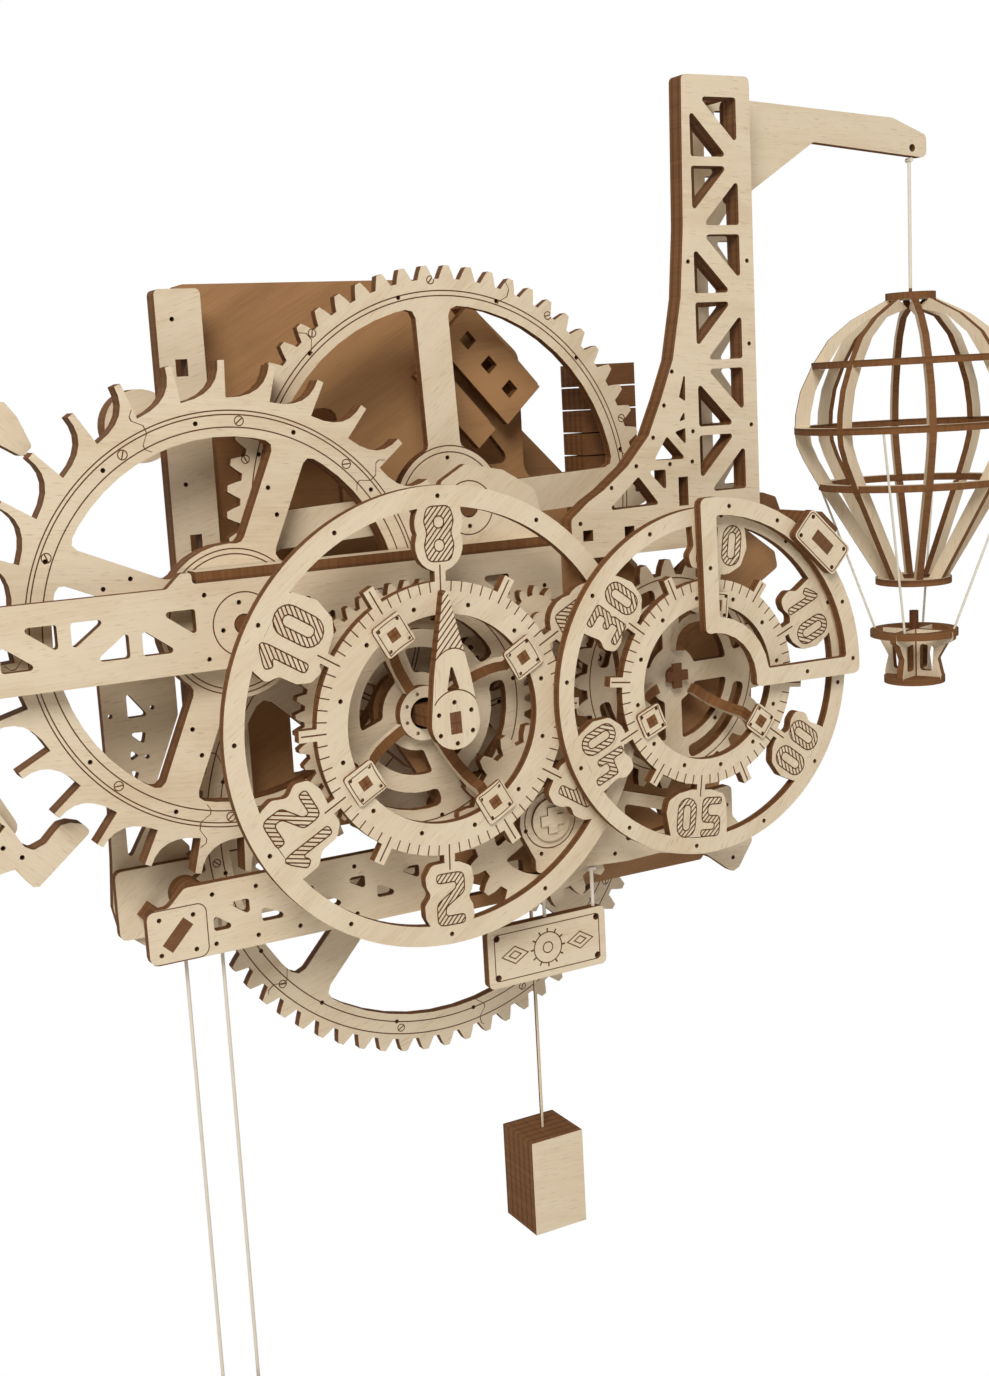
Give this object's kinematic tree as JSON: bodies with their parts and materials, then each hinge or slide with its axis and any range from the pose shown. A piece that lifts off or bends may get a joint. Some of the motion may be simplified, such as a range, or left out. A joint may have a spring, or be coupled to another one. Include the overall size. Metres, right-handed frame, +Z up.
{
  "type": "wooden wall clock kit",
  "caption": "Laser-cut plywood mechanical wall clock kit with two turning dials, geared movement, escape wheel, pendulum, lattice tower and a hanging balloon.",
  "frame": {"origin": "centre of the hole for the wall screw, on the wall side of the wall plate", "axes": "+X right as seen from the front, +Y into the wall, +Z up"},
  "size_m": [0.401, 0.1085, 0.4687],
  "materials": {
    "birch_ply": "pale birch plywood, satin, laser-cut edges",
    "birch_edge": "birch plywood seen on its browned laser-cut edges",
    "cord": "twisted white cord"
  },
  "bodies": {
    "frame": {"upper_beam": "birch_ply", "upper_beam_top": "birch_edge", "lower_beam": "birch_ply", "lower_rear_beam": "birch_ply", "cross_tie": "birch_edge", "dial_bridge": "birch_ply", "bridge_spacers": "birch_edge", "right_plate": "birch_ply", "minute_bearing": "birch_edge", "tower_front": "birch_ply", "tower_rear": "birch_ply", "tower_ties": "birch_edge", "left_post": "birch_ply", "left_leg": "birch_ply", "rear_plate": "birch_ply", "wall_plate": "birch_ply", "standoffs": "birch_edge", "pointer": "birch_ply", "pointer_post": "birch_edge", "window_frame": "birch_ply", "window_cap": "birch_ply", "window_bracket": "birch_edge", "wheel_bracket": "birch_ply", "top_bracket": "birch_ply", "laminated_column": "birch_edge", "balloon_arm": "birch_ply", "weight_cords": "cord"},
    "hour": {"hour_dial": "birch_ply", "hour_caps": "birch_ply", "hour_arms": "birch_ply", "hour_hub": "birch_ply", "hour_gear": "birch_ply"},
    "minute": {"minute_dial": "birch_ply", "minute_caps": "birch_ply", "minute_arms": "birch_ply", "minute_gear": "birch_ply", "minute_arbor": "birch_edge", "minute_pinion": "birch_ply"},
    "relay": {"relay_arbor": "birch_ply", "relay_wheel": "birch_ply"},
    "idler_a": {"idler_a": "birch_ply"},
    "idler_b": {"idler_b": "birch_ply"},
    "transfer": {"transfer_arbor": "birch_ply", "transfer_front_wheel": "birch_ply", "transfer_rear_wheel": "birch_ply"},
    "great": {"great_wheel": "birch_ply", "great_arbor": "birch_edge"},
    "second": {"second_wheel": "birch_ply", "second_pinion": "birch_edge"},
    "escape": {"escape_wheel": "birch_ply", "escape_pinion": "birch_edge"},
    "anchor": {"anchor": "birch_ply", "pallets": "birch_ply", "pendulum": "birch_ply"},
    "weight": {"drive_weight": "birch_ply"},
    "counterweight": {"counterweight": "birch_ply"},
    "sign": {"sign_plate": "birch_ply"},
    "balloon": {"balloon_ribs": "birch_ply", "balloon_rings": "birch_ply", "balloon_basket": "birch_ply"}
  },
  "joints": [
    {"name": "escape_spin", "type": "hinge", "parent": "frame", "child": "escape", "pos_m": [-0.0466, -0.065, -0.0708], "axis": [0, 1, 0], "range_deg": [-29700, 0]},
    {"name": "second_spin", "type": "hinge", "parent": "frame", "child": "second", "pos_m": [0.0245, -0.065, -0.0459], "axis": [0, 1, 0], "range_deg": [-0.5, 3960.5]},
    {"name": "great_spin", "type": "hinge", "parent": "frame", "child": "great", "pos_m": [0.0162, -0.065, -0.134], "axis": [0, 1, 0], "range_deg": [-720.5, 0.5]},
    {"name": "transfer_spin", "type": "hinge", "parent": "frame", "child": "transfer", "pos_m": [0.0364, -0.065, -0.1358], "axis": [0, 1, 0], "range_deg": [-0.5, 360.5]},
    {"name": "minute_spin", "type": "hinge", "parent": "frame", "child": "minute", "pos_m": [0.083, -0.065, -0.1], "axis": [0, 1, 0], "range_deg": [-288.5, 0.5]},
    {"name": "idler_a_spin", "type": "hinge", "parent": "frame", "child": "idler_a", "pos_m": [0.07097, -0.065, -0.09701], "axis": [0, 1, 0], "range_deg": [-0.5, 288.5]},
    {"name": "idler_b_spin", "type": "hinge", "parent": "frame", "child": "idler_b", "pos_m": [0.05893, -0.065, -0.09402], "axis": [0, 1, 0], "range_deg": [-288.5, 0.5]},
    {"name": "relay_spin", "type": "hinge", "parent": "frame", "child": "relay", "pos_m": [0.0392, -0.065, -0.079], "axis": [0, 1, 0], "range_deg": [-0.5, 96.5]},
    {"name": "hour_spin", "type": "hinge", "parent": "frame", "child": "hour", "pos_m": [0, -0.065, -0.1], "axis": [0, 1, 0], "range_deg": [-24.5, 0.5]},
    {"name": "weight_rise", "type": "slide", "parent": "frame", "child": "weight", "axis": [0, 0, 1], "range_m": [0, 0.1007], "deforming": ["weight_cords"]},
    {"name": "counterweight_fall", "type": "slide", "parent": "frame", "child": "counterweight", "axis": [0, 0, 1], "range_m": [-0.0285, 0]},
    {"name": "anchor_rock", "type": "hinge", "parent": "frame", "child": "anchor", "pos_m": [-0.147, -0.065, -0.0707], "axis": [0, 1, 0], "range_deg": [-2.5, 2.5]},
    {"name": "sign_swing", "type": "hinge", "parent": "frame", "child": "sign", "pos_m": [0.042, -0.0845, -0.1534], "axis": [1, 0, 0], "range_deg": [-8, 8]},
    {"name": "balloon_swing", "type": "hinge", "parent": "frame", "child": "balloon", "pos_m": [0.19, -0.07, 0.0514], "axis": [0, 1, 0], "range_deg": [-4, 4]}
  ],
  "couplings": [
    {"joint": "second_spin", "follows": "escape_spin", "ratio": -0.13333},
    {"joint": "great_spin", "follows": "escape_spin", "ratio": 0.024242},
    {"joint": "transfer_spin", "follows": "escape_spin", "ratio": -0.012121},
    {"joint": "minute_spin", "follows": "escape_spin", "ratio": 0.009697},
    {"joint": "idler_a_spin", "follows": "escape_spin", "ratio": -0.009697},
    {"joint": "idler_b_spin", "follows": "escape_spin", "ratio": 0.009697},
    {"joint": "relay_spin", "follows": "escape_spin", "ratio": -0.0032323},
    {"joint": "hour_spin", "follows": "escape_spin", "ratio": 0.00080808},
    {"joint": "weight_rise", "follows": "escape_spin", "m_per_rad": -0.00019394}
  ]
}
